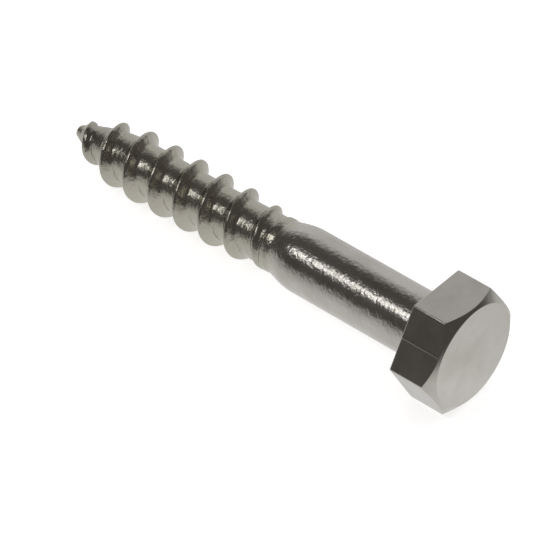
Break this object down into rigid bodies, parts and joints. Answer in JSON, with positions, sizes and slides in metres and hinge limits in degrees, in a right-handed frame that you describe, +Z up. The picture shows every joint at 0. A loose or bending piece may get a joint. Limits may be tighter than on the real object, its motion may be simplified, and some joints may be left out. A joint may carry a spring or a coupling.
{
  "type": "coach screw",
  "caption": "Hexagon head coach screw in bright stainless steel, with a plain shank and a coarse right-hand wood thread running to a gimlet point.",
  "frame": {"origin": "centre of the head's bearing face, on the screw's axis", "axes": "+Z up, +X from the point towards the head. The screw is stored as it lies on a flat surface: the edge of its lower flat at the bearing face and one crest of the thread touch, so its axis dips 3.62 degrees towards the point, in the XZ plane"},
  "size_m": [0.0561, 0.0148, 0.0132],
  "materials": {
    "stainless": "bright bare stainless steel with fine marks from forming, darker on the thread and towards the point"
  },
  "bodies": {
    "root": {"coach_screw": "stainless"}
  },
  "joints": []
}
